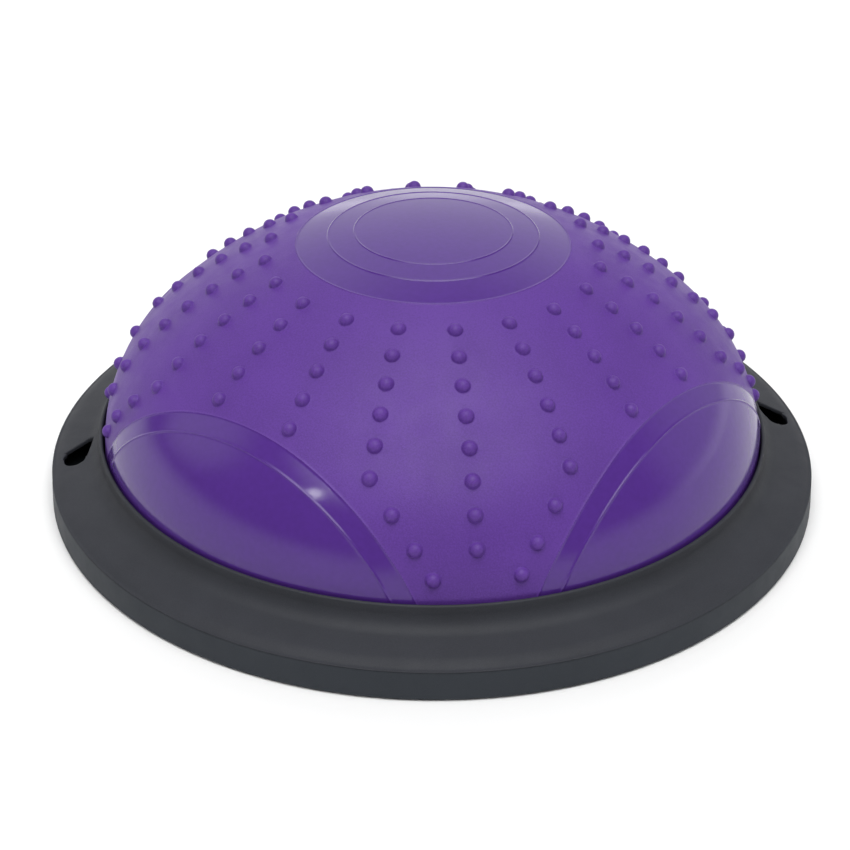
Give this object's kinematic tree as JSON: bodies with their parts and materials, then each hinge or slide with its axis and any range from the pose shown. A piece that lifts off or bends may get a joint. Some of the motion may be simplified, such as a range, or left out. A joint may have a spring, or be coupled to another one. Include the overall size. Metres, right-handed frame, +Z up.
{
  "type": "balance dome trainer",
  "caption": "Inflated massage dome with radial nubs and smooth panels, clamped by a wide ring with two band slots on a round non-slip base with an air plug below.",
  "frame": {"origin": "on the floor, under the middle of the base", "axes": "+Z up; the two band slots lie on -X and +X; a row of eight nubs points along -Y"},
  "size_m": [0.5999, 0.6, 0.2096],
  "materials": {
    "bladder_pvc": "matte moulded PVC, purple, with glossy disc and panels",
    "ring_plastic": "fine satin charcoal",
    "base_plastic": "fine satin charcoal",
    "deck_plastic": "plain, hidden",
    "valve_rubber": "soft matte PVC",
    "plug_plastic": "white moulded plastic",
    "screw_steel": "zinc plated",
    "foot_rubber": "matte black rubber"
  },
  "bodies": {
    "trainer": {"dome_bladder": "bladder_pvc", "top_ring": "ring_plastic", "base_platform": "base_plastic", "deck_plate": "deck_plastic", "valve_socket": "valve_rubber", "ring_screws": "screw_steel", "rubber_foot_1": "foot_rubber", "rubber_foot_2": "foot_rubber", "rubber_foot_3": "foot_rubber", "rubber_foot_4": "foot_rubber", "rubber_foot_5": "foot_rubber", "rubber_foot_6": "foot_rubber", "rubber_foot_7": "foot_rubber", "rubber_foot_8": "foot_rubber"},
    "plug": {"valve_plug": "plug_plastic"}
  },
  "joints": [
    {"name": "plug_pull", "type": "slide", "parent": "trainer", "child": "plug", "axis": [0, 0, -1], "range_m": [0, 0.016]}
  ]
}
